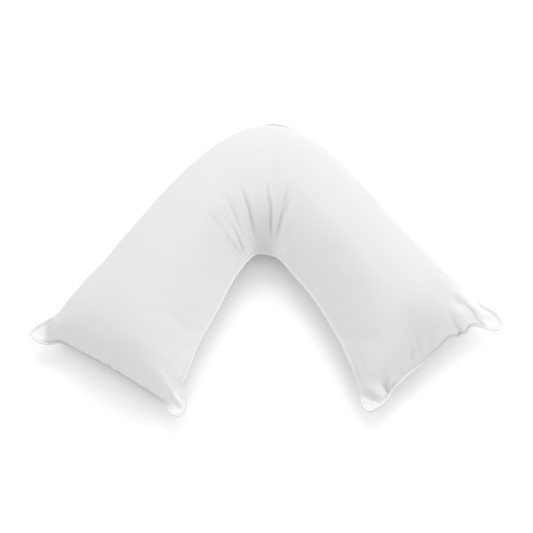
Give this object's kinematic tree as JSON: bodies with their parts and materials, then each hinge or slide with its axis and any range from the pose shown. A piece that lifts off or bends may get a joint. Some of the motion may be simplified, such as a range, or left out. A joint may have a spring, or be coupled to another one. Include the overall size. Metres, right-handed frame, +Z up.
{
  "type": "v shaped pillow",
  "caption": "Plump V shaped bed pillow: rounded arms meeting in a curved point, gathers inside the V, a narrow stitched edge all round and soft flattened corners.",
  "frame": {"origin": "middle of the bounding box at the surface that the pillow lies on", "axes": "+X across the V from arm end to arm end, +Y from the open side of the V to its point, +Z up from the back panel to the top panel"},
  "size_m": [1.0458, 0.7316, 0.1536],
  "materials": {
    "cloth": "matt white woven cloth"
  },
  "bodies": {
    "root": {"pillow": "cloth"}
  },
  "joints": []
}
